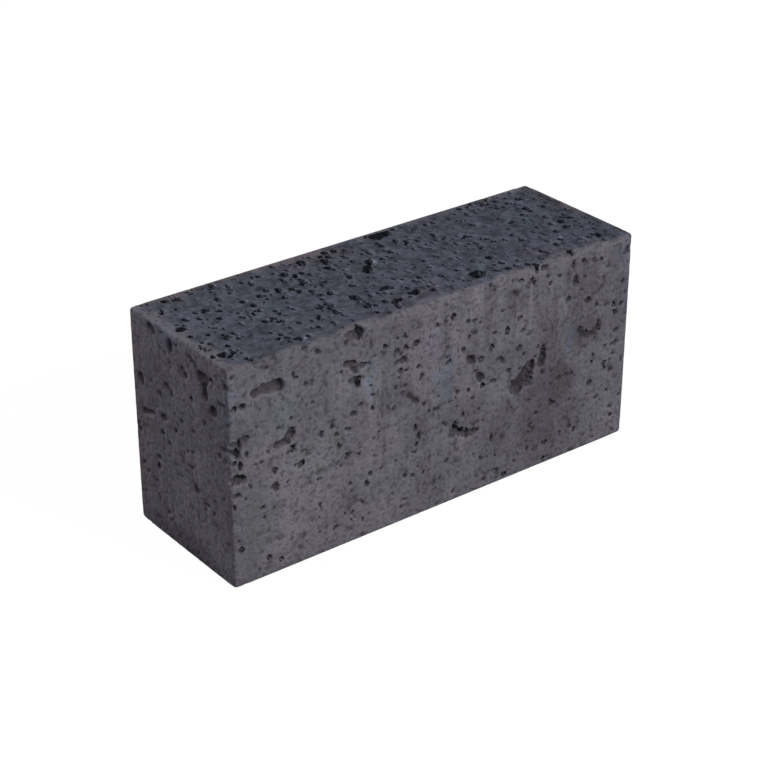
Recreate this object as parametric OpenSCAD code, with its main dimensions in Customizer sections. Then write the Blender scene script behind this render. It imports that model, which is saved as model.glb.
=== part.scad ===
// Small concrete paver, cast in one piece.
//
// A right-angled block with worn arrises. Its faces are open with air voids: single bubbles, and
// rows of bubbles that ran together, some straight, some tapering and some bent round a pebble.
// The block stands on its bed face, centred on the origin, with its length along X, its width
// along Y and its height along Z.

/* [Block] */
// Length of the block
block_length = 150; // [100:1:240]
// Width of the block, across its top
block_width = 50; // [40:1:100]
// Height of the block, which is the paver's thickness when it is laid
block_height = 70; // [50:1:120]
// Radius that wear has given to the edges
arris_radius = 0.6; // [0.3:0.1:2.5]

/* [Air voids] */
// Depth of a bubble in the top, as a share of its width
top_void_depth = 0.6; // [0.3:0.05:0.8]
// Depth of a bubble in a side, an end or the bed face, as a share of its width
side_void_depth = 0.45; // [0.2:0.05:0.8]
// Radius of the neck between two bubbles, as a share of theirs
neck_share = 0.93; // [0.85:0.01:0.95]
// Number of chance voids in the back
back_voids = 24; // [0:1:60]
// Number of chance voids in the right end
right_voids = 12; // [0:1:30]
// Number of chance voids in the bed face
bed_voids = 14; // [0:1:30]
// Narrowest chance void
least_void = 1.8; // [1.2:0.1:2.4]
// Widest chance void
greatest_void = 4; // [2.6:0.1:5]
// Seed that places the chance voids
chance_seed = 7; // [1:1:99]

/* [Hidden] */
$fn = 32;

concrete_colour = [0.36, 0.35, 0.38];
arris_steps = 5;          // flats that make up each worn edge
past = 1;                 // how far a cutting profile runs past the block
round_share = 1.15;       // a void that is shorter than this many of its widths is one bubble
joined_within = 0.55;     // bubbles that lie within this share of their width need no neck
greatest_turn = 36;       // angle between two necks at a bubble
bed_clear = 12;           // radius about the bed face's middle that stays whole
side_margin = 0.06;       // chance voids keep this share of a face from its edges
draws_each = 6;           // chance numbers that place one void
crowding = 3;             // the higher this is, the more of the chance voids are small and round
least_taper = 0.6;        // taper of the most pointed chance void

// A void is [along %, up or across %, length, width, turn, taper, bend]. The two places are shares
// of the face, the length and width are of its mouth, and the turn is in degrees. The taper, 1 where
// it isn't given, is the last bubble's width as a share of the first's, and the bend, 0 where it
// isn't given, is the angle that the row of bubbles turns through, more than 0 for an arch.
top_voids = [
    [62.0, 13.0, 5.2, 4.3,  15], [58.7, 92.6, 8.0, 3.8,   0, 0.8], [46.0, 56.6, 4.4, 3.4,  40],
    [48.7, 65.4, 3.6, 2.2,  45], [ 2.8, 57.4, 3.2, 2.8,  10], [ 3.8, 13.4, 2.9, 1.5,  10],
    [ 3.2, 17.0, 3.6, 2.2,  20], [37.5, 88.4, 4.0, 2.6,  95], [41.9, 81.6, 3.9, 2.6,  85],
    [40.5, 72.6, 3.8, 2.4, 105], [31.8, 82.0, 3.0, 2.6,  90], [36.5, 30.6, 4.4, 2.8,  88],
    [59.1, 78.6, 3.9, 2.2,  95], [59.9, 71.2, 3.5, 1.7,  80], [83.8,  3.0, 3.0, 2.7,  90],
    [47.3, 15.4, 4.0, 2.8,  30], [50.7, 11.6, 2.4, 1.6,  10], [87.8, 95.0, 3.3, 2.2,  90],
    [88.3, 30.6, 2.8, 2.3,  90], [91.5, 31.6, 2.6, 2.0, 100], [84.0, 16.0, 2.6, 2.0,  90],
    [91.5, 51.6, 2.9, 2.0,  95], [24.5, 81.4, 3.0, 2.0, 100], [30.0, 74.4, 3.0, 1.9,  90],
    [30.2, 23.4, 2.3, 2.0,  90], [26.8, 64.0, 2.2, 1.9,  90], [95.0, 65.4, 2.3, 1.9,  90],
    [93.7,  9.0, 2.2, 2.0,   0], [15.2, 76.0, 2.6, 1.7,  95], [ 9.5, 90.4, 2.5, 1.8,  90],
    [37.0, 18.0, 3.0, 1.9,  80], [68.9, 26.6, 3.0, 2.0,   0], [25.8, 20.4, 2.5, 1.8,  90]
];
front_voids = [
    [ 8.6, 86.2, 10.8, 2.7,   2, 1.4, 24], [28.1, 96.2, 7.6, 3.8, 200, 0.45, -30],
    [ 2.5, 81.3, 5.0, 1.4,  -8, 1.0, 75], [20.1, 94.6, 3.4, 1.5, -42], [27.9, 82.7, 7.0, 2.3, -38],
    [31.5, 81.4, 3.4, 1.6, 180, 0.6], [28.7, 76.6, 4.6, 1.5,   0], [29.3, 74.3, 2.3, 1.8,  20],
    [ 3.0, 67.1, 3.0, 2.1, -20], [ 1.3, 63.5, 3.8, 1.7, -28], [ 1.9, 61.0, 3.2, 1.5, -60],
    [ 2.3, 65.6, 2.8, 1.5,  60], [12.4, 60.6, 8.8, 2.1,  28, 1.3, -70],
    [ 2.1, 50.0, 5.4, 2.8, -30, 0.8], [ 1.2, 42.6, 2.2, 1.7,   0], [ 9.8, 48.6, 2.4, 1.9,   0],
    [28.3, 61.1, 2.8, 2.1,   0], [27.1, 54.9, 3.2, 1.6, -15], [10.0, 40.0, 3.4, 2.0, -60],
    [17.3, 98.4, 2.6, 2.0,   0], [43.3, 82.9, 2.3, 2.0,   0], [40.4, 77.6, 3.0, 2.2,  10],
    [57.1, 67.0, 3.4, 2.2, -15], [57.8, 64.7, 3.0, 2.3, -40], [59.7, 56.7, 3.4, 2.4, -35],
    [42.7, 57.6, 6.2, 1.8, -42, 1.2], [53.3, 34.9, 4.4, 3.3,  60, 0.6], [55.1, 32.4, 4.2, 1.7, -38],
    [57.3, 30.6, 4.6, 2.1,   0, 0.7], [65.5, 60.2, 4.4, 1.3, -40], [63.2, 52.2, 3.4, 1.3, -30],
    [50.7, 40.0, 3.2, 1.6, -35], [48.7, 48.7, 3.2, 1.7, -15], [56.2, 84.7, 2.3, 1.8,   0],
    [58.0, 84.2, 2.6, 1.7,   0], [58.1, 78.3, 2.3, 1.6,   0], [71.1, 49.4, 12.0, 5.6, 56, 0.35],
    [71.3, 45.0, 4.8, 3.0, -15], [76.3, 56.0, 7.8, 3.1,  80, 0.5], [76.5, 47.6, 3.0, 1.9, -55],
    [84.6, 86.7, 3.3, 2.3,  75], [82.9, 78.0, 2.5, 2.0, -20], [88.4, 74.6, 3.0, 2.5, -10],
    [89.0, 58.6, 12.0, 2.1,  6, 1.0, -125], [96.9, 54.7, 2.7, 2.2,   0], [96.6, 48.9, 4.0, 1.6,   5],
    [88.2, 57.4, 2.6, 2.1,   0], [91.6, 61.6, 2.3, 1.9,   0],
    [95.8, 35.4, 2.4, 1.8,   0], [89.7, 32.4, 2.2, 1.9,   0], [98.8, 38.3, 2.8, 1.7,  90],
    [98.8, 71.9, 2.6, 1.7, 100], [98.7, 92.6, 3.2, 2.0,  80], [94.3, 87.4, 3.2, 1.5, -25, 0.5],
    [75.8, 97.7, 3.4, 2.5,   0], [77.0, 93.1, 2.6, 1.9, -20], [81.1, 40.9, 3.0, 1.5, -10],
    [68.4, 90.0, 2.9, 1.7, -35], [83.8, 94.3, 2.8, 1.4,  80], [ 0.5,  0.9, 3.4, 2.8,   0]
];
left_voids = [
    [75.4, 89.7, 5.6, 3.4,   0], [77.0, 84.0, 6.0, 3.2, -82, 0.9], [65.6, 94.0, 5.4, 1.8, -22],
    [42.6, 94.3, 4.6, 3.0,  78], [23.0, 96.6, 5.0, 3.0, -10], [57.0, 85.1, 2.6, 2.2, -50],
    [54.4, 87.6, 2.0, 1.4,   0], [ 9.0, 70.0, 4.3, 3.0, -70], [41.4, 72.6, 3.4, 1.9, -65],
    [37.0, 74.6, 2.7, 2.2, -30], [29.4, 68.9, 2.3, 1.9,  90], [15.6, 56.1, 7.4, 2.4,  14, 0.8],
    [32.4, 58.3, 3.7, 2.4,   8], [ 4.2, 44.7, 2.5, 2.1,  30], [58.4, 44.0, 3.4, 1.5,   0],
    [24.4, 37.4, 2.5, 1.8,  20], [47.4, 36.0, 4.2, 1.1,  15], [64.8, 36.0, 5.4, 1.1, -25],
    [74.6, 31.7, 3.2, 1.1,  10], [98.4, 36.7, 2.8, 1.7,  80], [ 6.4, 29.7, 2.3, 1.9,  20],
    [10.8, 26.1, 2.4, 1.3,  15], [85.2, 77.6, 3.8, 3.2, -50], [93.6, 82.9, 4.4, 1.8,  -5],
    [98.0, 80.9, 4.2, 1.5,  90], [95.2, 63.3, 3.7, 1.3,  30], [97.8, 92.1, 2.1, 1.5,  90]
];

// Rows for voids over a face of this size, placed by chance, with a disc about its middle left whole
function chance_voids(face_x, face_y, count, seed, clear = 0) =
    let (draws = rands(0, 1, draws_each * max(count, 1), chance_seed + seed),
         used = 1 - 2 * side_margin)
    [for (i = [0 : 1 : count - 1])
        let (first = draws_each * i,
             along = side_margin + used * (i + draws[first]) / count,
             up = side_margin + used * draws[first + 1],
             width = least_void + (greatest_void - least_void) * pow(draws[first + 2], crowding),
             length = width * (1 + pow(draws[first + 3], crowding)),
             taper = least_taper + (1 - least_taper) * draws[first + 5])
        if (norm([(along - 0.5) * face_x, (up - 0.5) * face_y]) > clear)
            [100 * along, 100 * up, length, width, 180 * draws[first + 4], taper]];

// A quarter turn of arc at a corner of a worn outline
function corner_arc(centre, first) =
    [for (i = [0 : arris_steps])
        let (angle = first + 90 * i / arris_steps)
        centre + arris_radius * [cos(angle), sin(angle)]];

// Outline of a rectangle, centred on the origin, with its corners worn round
function worn_outline(width, height) =
    let (x = width / 2 - arris_radius, y = height / 2 - arris_radius)
    concat(corner_arc([x, y], 0), corner_arc([-x, y], 90),
           corner_arc([-x, -y], 180), corner_arc([x, -y], 270));

// A prism with a worn outline, long enough to run past the block at both ends
module worn_prism(width, height, run)
    linear_extrude(run + 2 * past, center = true)
        polygon(worn_outline(width, height));

// The block without its voids: three prisms, one along each axis, leave every edge worn
module block()
    translate([0, 0, block_height / 2])
        intersection() {
            worn_prism(block_length, block_width, block_height);
            rotate([90, 0, 0]) worn_prism(block_length, block_height, block_width);
            rotate([90, 0, 90]) worn_prism(block_width, block_height, block_length);
        }

// Each of these lays its children on one face: x runs along it, y up or across it, z out of it
module on_top() translate([-block_length / 2, -block_width / 2, block_height]) children();
module on_bed() translate([-block_length / 2, block_width / 2, 0]) rotate([180, 0, 0]) children();
module on_front() translate([-block_length / 2, -block_width / 2, 0]) rotate([90, 0, 0]) children();
module on_back() translate([block_length / 2, block_width / 2, 0]) rotate([90, 0, 180]) children();
module on_left() translate([-block_length / 2, block_width / 2, 0]) rotate([90, 0, -90]) children();
module on_right() translate([block_length / 2, -block_width / 2, 0]) rotate([90, 0, 90]) children();

// Radius of the sphere whose cap opens in a face with a mouth of this width
function bubble_radius(width, depth_share) =
    width * (0.25 + depth_share * depth_share) / (2 * depth_share);

// Centre of the bubble that lies at this share of the way along a row of this length, which turns
// through the bend. The row starts at -0.5 and ends at 0.5.
function bubble_centre(row, bend, at, width, depth_share) =
    let (height = bubble_radius(width, depth_share) - depth_share * width)
    bend == 0
        ? [row * at, 0, height]
        : let (arc = row / (bend * PI / 180))
          [arc * sin(bend * at), arc * (cos(bend * at) - cos(bend / 4)), height];

// A straight neck, round in section, from one point to another
module neck(start, end, start_radius, end_radius) {
    run = end - start;
    translate(start)
        rotate([0, acos(run[2] / norm(run)), atan2(run[1], run[0])])
            cylinder(h = norm(run), r1 = start_radius, r2 = end_radius);
}

// One void: a bubble, or a row of bubbles with necks between the ones that lie apart
module air_void(length, width, taper, bend, depth_share) {
    row = length - width * (1 + taper) / 2;
    spans = length < round_share * width ? 0 : max(1, ceil(abs(bend) / greatest_turn));
    shares = spans == 0 ? [0] : [for (i = [0 : spans]) i / spans];
    widths = [for (share = shares) width * (1 + (taper - 1) * share)];
    radii = [for (w = widths) bubble_radius(w, depth_share)];
    middle = spans == 0 ? 0 : 0.5;
    centres = [for (i = [0 : spans])
                   bubble_centre(row, bend, shares[i] - middle, widths[i], depth_share)];
    for (i = [0 : spans])
        translate(centres[i])
            sphere(radii[i]);
    for (i = [1 : 1 : spans])
        if (norm(centres[i] - centres[i - 1]) > joined_within * widths[i])
            neck(centres[i - 1], centres[i], neck_share * radii[i - 1], neck_share * radii[i]);
}

// The voids of a list, on a face of this size
module voids(face_x, face_y, list, depth_share)
    for (row = list) {
        place = [row[0] / 100 * face_x, row[1] / 100 * face_y, 0];
        taper = is_undef(row[5]) ? 1 : row[5];
        bend = is_undef(row[6]) ? 0 : row[6];
        translate(place)
            rotate(row[4])
                air_void(row[2], row[3], taper, bend, depth_share);
    }

// The paver: the worn block, opened by the voids of its six faces
module paver()
    color(concrete_colour)
        difference() {
            block();
            on_top() voids(block_length, block_width, top_voids, top_void_depth);
            on_front() voids(block_length, block_height, front_voids, side_void_depth);
            on_left() voids(block_width, block_height, left_voids, side_void_depth);
            on_right()
                voids(block_width, block_height,
                      chance_voids(block_width, block_height, right_voids, 1),
                      side_void_depth);
            on_back()
                voids(block_length, block_height,
                      chance_voids(block_length, block_height, back_voids, 2),
                      side_void_depth);
            on_bed()
                voids(block_length, block_width,
                      chance_voids(block_length, block_width, bed_voids, 3, bed_clear),
                      side_void_depth);
        }

paver();
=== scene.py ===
"""Looks of the small concrete paver: one cast block, standing on its bed face.

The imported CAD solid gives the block's size, its worn arrises and its large air voids. This script
turns that solid into a level set and works on it there: it fills one corner, makes the walls of
the voids ragged, wears the edges unevenly, opens the many small voids and deepens the large ones.
It meshes the result, which then stands for the CAD node. Lengths in the level set are millimetres,
and lengths in Blender are metres.
"""

import math
from typing import NamedTuple

import bmesh
import bpy
import numpy as np
import openvdb
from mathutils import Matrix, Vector


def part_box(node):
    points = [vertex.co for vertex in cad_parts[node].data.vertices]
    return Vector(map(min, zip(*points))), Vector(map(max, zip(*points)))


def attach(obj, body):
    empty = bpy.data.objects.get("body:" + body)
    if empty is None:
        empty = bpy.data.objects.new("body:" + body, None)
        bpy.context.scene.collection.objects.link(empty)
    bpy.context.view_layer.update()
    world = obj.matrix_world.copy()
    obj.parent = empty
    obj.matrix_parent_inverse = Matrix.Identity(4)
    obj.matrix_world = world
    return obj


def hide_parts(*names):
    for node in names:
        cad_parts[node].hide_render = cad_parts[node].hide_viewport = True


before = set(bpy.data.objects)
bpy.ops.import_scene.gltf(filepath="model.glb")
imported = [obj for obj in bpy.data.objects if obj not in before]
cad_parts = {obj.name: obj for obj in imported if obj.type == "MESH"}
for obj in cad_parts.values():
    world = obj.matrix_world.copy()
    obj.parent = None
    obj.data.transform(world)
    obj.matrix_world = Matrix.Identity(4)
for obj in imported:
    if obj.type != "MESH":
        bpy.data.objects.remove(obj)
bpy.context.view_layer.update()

MM = 0.001                      # one millimetre, in metres
TINY = 1e-6                     # keeps a divisor away from zero
SEED = 15                       # of all that is left to chance
MOST_TRIANGLES = 190000         # the mesh is thinned out to this many
SHARPEST = 60                   # edges that turn by more degrees than this are shaded as sharp
LOW, HIGH = (np.array(corner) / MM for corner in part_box("paver"))
SIZE = HIGH - LOW
MIDDLE = (LOW + HIGH) / 2

# The level set and its noises
VOXEL = 0.2                     # spacing of the level set
BAND = 5                        # voxels on each side of the surface that hold distances
MERGING = 0.01                  # how readily flat places are meshed with larger faces
BEYOND = 1.0                    # boxes of voxels reach this far past the block
ROOM = 3                        # voxels round a void that are worked on with it
TILE = 128                      # voxels along a side of a repeating block of noise
WAVES = 24                      # sine waves in a smooth noise
RAGGED, BROAD = 1.1, 4.0        # wavelengths of the two repeating noises
AROUND, AROUND_PASSES = 3, 2    # voxels on each side that the solid's share is averaged over

# How the block is worn
BENDS = ((0.16, 5.0), (0.09, 2.2))      # amounts and wavelengths that bend the CAD's voids
STILL = 3.0                     # depth over which a face holds the CAD's points to its own plane
CORNER = 4.5                    # the lowest front corner is whole for this far from its tip
ARRIS = 0.6                     # radius of the CAD's worn edges
UNDER = 5.0                     # depth under a face in which the walls of voids are worn
TOP_WALLS = (0.02, 2)           # how ragged the walls under the top are, and how often blurred
SIDE_WALLS = (0.06, 5)          # the same under the other faces
WALL_FROM, WALL_FADE = 0.2, 0.8         # walls turn ragged from the first depth, over the second
WEAR = 0.14                     # how far the arrises are cut back
WEAR_RAGGED, WEAR_BROAD = 0.09, 0.05    # how far the two noises change that

# Patches of colour
THICK = 5.0                     # how far into the block a patch of colour reaches
SMALL_OVAL = 1.5                # an oval whose half widths are less than this keeps its outline


# ---------------------------------------------------------------- the six faces

X, Y, Z = np.eye(3)


class Face:
    """A face of the block, seen from outside: u runs along it, v up or across it, n out of it."""

    def __init__(self, corner, u, v):
        self.corner = np.array(corner)
        self.u, self.v, self.n = u, v, np.cross(u, v)
        self.width, self.height = abs(SIZE @ u), abs(SIZE @ v)

    def point(self, along, up):
        return self.corner + along * self.u + up * self.v


FACES = {
    "top": Face((LOW[0], LOW[1], HIGH[2]), X, Y),
    "front": Face((LOW[0], LOW[1], LOW[2]), X, Z),
    "left": Face((LOW[0], HIGH[1], LOW[2]), -Y, Z),
    "right": Face((HIGH[0], LOW[1], LOW[2]), Y, Z),
    "back": Face((HIGH[0], HIGH[1], LOW[2]), -X, Z),
    "bed": Face((LOW[0], HIGH[1], LOW[2]), X, -Y),
}

# Small voids placed one by one: (along, up, length, height) in millimetres on the face
PLACED = {
    "top": [
        (22.8, 38, 1.6, 3.1), (14.2, 45.2, 1.7, 3), (8.8, 12.2, 1.7, 2.2), (9, 1.5, 1.5, 1.8),
        (11.7, 31, 1.5, 1.8), (13.7, 14.2, 1.6, 1.9), (14.3, 17.3, 1.1, 3), (16.3, 27.8, 1.7, 2.4),
        (19.2, 31.8, 1.5, 1.8), (20.2, 48.8, 1.6, 1.9), (22.5, 11.5, 1.3, 1.6),
        (24.2, 8.8, 1.6, 1.9), (21.8, 6.7, 1, 2.4), (25.5, 23.8, 1.3, 1.6), (27.3, 25.5, 1.4, 1.7),
        (30, 44, 1.4, 2.4), (34.7, 43.8, 1.6, 1.9), (47.7, 32, 1.6, 1.9), (44, 28, 1.3, 1.6),
        (47.3, 23.3, 1.1, 2.4), (45.5, 7.8, 1.5, 2.9), (38.7, 10.2, 1.7, 3), (38.8, 27.5, 1.7, 2.4),
        (31.7, 19.2, 1.5, 2.9), (29.5, 15.7, 1.4, 2.2), (32.5, 12, 1.6, 2), (35.3, 6.5, 1.7, 1.7),
        (46.2, 18, 1, 2.4), (2.5, 14.8, 1.6, 2.4), (5.2, 40.3, 1.6, 1.9), (8, 21, 1.3, 1.6),
        (61.7, 27.3, 1.6, 2.4), (69.2, 35.8, 1.6, 2.4), (69.5, 39, 1.5, 1.8),
        (76.7, 37.5, 1.6, 3.6), (77.5, 32, 1.4, 2.2), (93.2, 29.5, 1.4, 3), (97, 27, 1.1, 2.6),
        (96.8, 31.5, 1.1, 2.2), (73.7, 23, 1.1, 3), (77.7, 20, 1.4, 3.6), (71.3, 18.8, 1.1, 2.2),
        (65.2, 15.2, 1.7, 2.6), (61.8, 13.5, 1.4, 2.2), (75.2, 13.8, 1.6, 2.4),
        (83.7, 12, 1.7, 2.4), (83.7, 16.5, 1.1, 1.8), (70.7, 11.2, 1.5, 2.6),
        (91.2, 23.7, 1.5, 2.6), (86.5, 23.3, 1.3, 2.2), (95.8, 17.8, 1.1, 3.4), (63.5, 6.7, 2, 2.6),
        (52.2, 28, 1.3, 2.4), (53.7, 36.3, 1.7, 2.2), (76.3, 8.5, 1.4, 1.7), (102, 27, 1.6, 2.4),
        (107, 23.8, 1.6, 2.4), (111.8, 24.2, 1.5, 1.8), (111.8, 21.7, 1.5, 1.8),
        (115.7, 20.2, 1.7, 2.6), (124.7, 33.3, 1.7, 2.6), (127.3, 29.5, 1.4, 2.4),
        (133.3, 31.2, 1.6, 2.4), (136.2, 32.3, 1.1, 2.4), (145, 34.7, 1.3, 1.6),
        (141.3, 22.7, 1.4, 2.4), (142.7, 21, 1.5, 2.4), (129.3, 10.3, 1.6, 2.4),
        (137.5, 6.3, 1.7, 2.4), (139.5, 1.8, 1.5, 1.8), (134.3, 6.8, 1.3, 2.2), (133.2, 5, 1, 2.4),
        (128, 15.7, 1.4, 2.9), (118.8, 7, 2, 2.4), (127.8, 45, 1.7, 2.6), (119.8, 47.3, 2, 2.4),
        (141.2, 47.3, 1.6, 2.4), (119.3, 43.3, 1.5, 1.8), (113.8, 40, 1.1, 3.1),
        (124.7, 48, 1.6, 1.9), (135.3, 37, 1.4, 4.2), (120.2, 19.7, 0.9, 3.1),
        (122.8, 17.2, 0.9, 2.6), (126.3, 19.5, 1.5, 1.8), (143.3, 10, 1.3, 2.4), (111, 1, 2, 2.2),
        (109.2, 2.5, 2, 2.4), (115, 3, 1.4, 2.4), (147, 17.7, 1.1, 2.6),
    ],
    "front": [
        (8.7, 38, 1.6, 1), (10.5, 38, 1.4, 1.4), (12.8, 40.7, 1.4, 1), (15, 33.8, 2, 2),
        (20.7, 48.5, 1.2, 1.2), (25.8, 57.8, 1.5, 1.5), (28.2, 50.9, 2, 1), (30.3, 66.2, 1.6, 1.6),
        (36.3, 38, 1.6, 1.6), (30, 25.5, 2.2, 1.3), (44.2, 29, 1.5, 1.5), (49.2, 42.3, 1.5, 1.5),
        (31, 40, 1.6, 2.2), (15, 28.7, 2, 2.6), (10.3, 23.3, 1.6, 1.6), (48.2, 20.8, 1.4, 2),
        (24.7, 36.7, 2.4, 1), (1.7, 67.3, 1.3, 1.3), (53.7, 60.7, 1.6, 1.6), (58.2, 61.8, 1.1, 1.1),
        (59.3, 51.2, 1.8, 1.8), (61, 45.7, 2, 1.4), (60, 43.7, 1.6, 1), (66.7, 45.8, 1.8, 1),
        (68, 37.2, 1.6, 1.6), (64.5, 22.2, 1.8, 1), (76.7, 49.8, 1.3, 1.3), (76, 61.7, 1.4, 1.4),
        (80.7, 37, 1.6, 1.6), (85, 36.3, 1.4, 1.4), (90.5, 36.3, 2, 2), (94.7, 52.3, 1.8, 1.4),
        (92.7, 68.5, 1.4, 1.4), (99.7, 51.7, 2, 2.5), (96.8, 43.3, 2.6, 1.3), (94.7, 36.3, 3, 1.2),
        (104.7, 54.5, 2.2, 1.6), (109.7, 64.5, 1.6, 1.6), (120, 64, 1.8, 1.2),
        (125.7, 66, 1.2, 2.5), (129.7, 66.3, 1.7, 1.7), (134, 65.5, 1.2, 1.2),
        (137.2, 64.7, 1.8, 1.8), (130.5, 60.8, 1.5, 1), (129.3, 56.5, 1.8, 1),
        (146.8, 54.7, 1.5, 1.5), (143.5, 47.7, 2, 2), (106.5, 41.7, 1.2, 1.2),
        (112.5, 42.5, 1.5, 1.5), (109.7, 30.7, 1.1, 1.1), (140.7, 34, 1.2, 1.2),
        (136, 32.3, 1.3, 1.3), (144.3, 30.3, 1.6, 1.2), (143.5, 24.8, 2, 1.6),
        (134.7, 22.7, 1.8, 2), (126.7, 28.7, 1.6, 1.2), (122, 28.7, 2, 1.6), (118.2, 22, 1.5, 1.5),
        (65.8, 16.7, 1.2, 1.2), (109.2, 8, 1, 2.5), (94.6, 16.7, 1.5, 2.5), (45.4, 6.2, 1, 1.5),
        (91.7, 3.3, 2, 1.2), (87.5, 1, 2, 1),
    ],
    "left": [
        (18.4, 33.6, 1.8, 1.4), (22.2, 39.6, 1.8, 2), (15, 35.7, 2, 1.8), (10, 17.3, 1.8, 1.2),
        (44.8, 41.5, 1.8, 1.6), (47.6, 41.1, 1.4, 2), (47.2, 44.5, 3, 1.4), (37.8, 48.7, 1.6, 1.6),
        (31.5, 53.7, 1.6, 1.6), (25.9, 44.1, 1.4, 1.4), (37.4, 21.9, 3, 1.2), (41.3, 25.2, 2, 1),
        (27.3, 61.3, 2, 1.6), (48.8, 64.4, 1.4, 2),
    ],
}

# Pockets that deepen the large voids: (along, up, length, height, depth) in millimetres
POCKETS = {
    "top": [
        (87.6, 46.8, 6.5, 2.8, 2.4), (85, 46.4, 3.0, 2.2, 2.0), (93, 6.2, 4.8, 4.0, 3.4),
        (69, 28, 2.8, 2.2, 2.0), (72.6, 32.2, 1.4, 4.0, 1.4), (70.4, 30.4, 3.4, 1.8, 1.4),
    ],
    "front": [
        (9.4, 60.4, 3.6, 2.2, 1.5), (12.2, 61.2, 4.4, 2.2, 1.7), (15.2, 61.2, 4.2, 2.3, 1.8),
        (17.2, 59.9, 2.3, 3.2, 1.6), (41.8, 68.1, 5.2, 1.9, 2.1), (44.6, 67.1, 2.2, 3.4, 2.2),
        (41.3, 59, 4.8, 1.9, 1.6), (45.6, 57.2, 3.8, 1.8, 1.5), (43, 53.4, 4.8, 1.9, 1.8),
        (43.9, 51.8, 2.0, 3.0, 1.7), (79.8, 24.8, 3.4, 2.8, 2.2), (82.3, 23.1, 2.7, 3.3, 2.2),
        (84.6, 21.9, 4.2, 2.9, 2.1), (87.6, 21.6, 3.2, 2.3, 1.5), (129.6, 43.2, 2.6, 2.1, 0.9),
        (131.6, 41.2, 3.2, 2.2, 1.0), (134.8, 40.2, 3.4, 2.2, 1.0), (137.4, 41.6, 2.2, 3.2, 0.9),
        (1.4, 46.6, 2.8, 1.8, 1.8), (3.5, 46.3, 1.9, 3.6, 2.0), (2.5, 43.6, 2.1, 3.6, 2.0),
        (5.2, 47.4, 2.8, 1.8, 1.5), (1.2, 44, 2.4, 2.0, 1.7), (2.6, 35, 5.2, 2.8, 2.6),
        (2.2, 57.3, 2.4, 2.1, 1.7), (4.7, 57.4, 2.4, 2.2, 1.7), (110.1, 36.6, 2.0, 5.0, 1.3),
        (107.8, 32.1, 4.6, 2.6, 1.3), (109.0, 33.8, 3.0, 4.2, 1.4), (114.5, 39.6, 2.4, 5.8, 1.4),
        (21, 43.3, 2.1, 3.2, 1.4), (18.6, 41.5, 4.2, 1.9, 1.2), (15.8, 41.6, 3.0, 1.5, 1.0),
        (3.4, 39.2, 1.5, 3.0, 1.3), (1.6, 40.6, 2.0, 1.5, 1.2), (1.8, 30.2, 3.2, 1.5, 1.2),
        (1.0, 26.4, 1.3, 2.4, 1.0), (5.6, 42.2, 1.2, 2.2, 0.9), (85.6, 46.3, 2.9, 2.6, 1.7),
        (89.8, 38.8, 2.6, 2.4, 1.3), (65.3, 58.1, 2.1, 2.0, 1.4), (60.3, 54.3, 2.2, 2.4, 1.0),
        (65.0, 30.4, 1.4, 2.6, 0.9), (66.2, 27.4, 1.6, 2.4, 1.0), (65.4, 24.6, 1.3, 1.9, 0.8),
        (119.2, 20.8, 2.8, 1.6, 1.1), (126.9, 60.0, 2.5, 3.2, 1.0), (132.2, 52.2, 2.3, 2.0, 1.0),
        (124.2, 55.0, 2.0, 1.6, 0.9), (148.5, 65.2, 1.8, 2.4, 1.0), (98.2, 42.3, 1.8, 1.6, 0.9),
    ],
}


class Chance(NamedTuple):
    """The chance voids of a face. Its placed voids take their lean, depth and wall from it too."""

    density: float              # how many to a square millimetre
    shortest: float             # length of the shortest mouth, in millimetres
    longest: float              # length of the longest
    least_width: float          # as a share of the length
    lean: float                 # how far their length leans from the face's v, in degrees
    spread: float               # how far that lean varies, in degrees
    depth: float                # as a share of the width
    rim: float                  # how far the rim is rounded over, in millimetres
    rough: float                # how ragged the wall is, as a share of the width


CHANCE = {
    "top": Chance(0.070, 1.1, 2.8, 0.55, 14, 18, 0.95, 0.20, 0.03),
    "front": Chance(0.021, 1.1, 2.8, 0.55, 0, 90, 0.50, 0.40, 0.09),
    "left": Chance(0.010, 1.1, 2.8, 0.55, 0, 90, 0.42, 0.50, 0.07),
    "right": Chance(0.015, 1.0, 2.8, 0.55, 0, 90, 0.45, 0.40, 0.09),
    "back": Chance(0.018, 1.0, 2.8, 0.55, 0, 90, 0.50, 0.35, 0.09),
    "bed": Chance(0.010, 1.0, 2.8, 0.55, 0, 90, 0.50, 0.40, 0.07),
}
WIDTHS = 0.4                    # chance voids differ by this much in width to length
CLEAR = 0.5                     # the mouths of chance voids keep this far from a face's edges
TRIED = 1.6                     # places tried for each chance void that is wanted
KEPT, KEPT_MORE = 0.65, 0.25    # share of them that is kept, and how far crowding changes it
SMALLER = 3                     # the greater this is, the more of the chance voids are small
CROWDS = 6                      # waves that make the chance voids crowd together
CROWD_LENGTH = 4.0              # least length of those waves, over two pi, in millimetres
SWING = 17                      # placed voids turn by up to this many degrees from their lean
POCKET_RIM = 0.50               # how far the rims of pockets are rounded over
POCKET_ROUGH = 0.06             # how ragged the walls of pockets are

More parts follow.
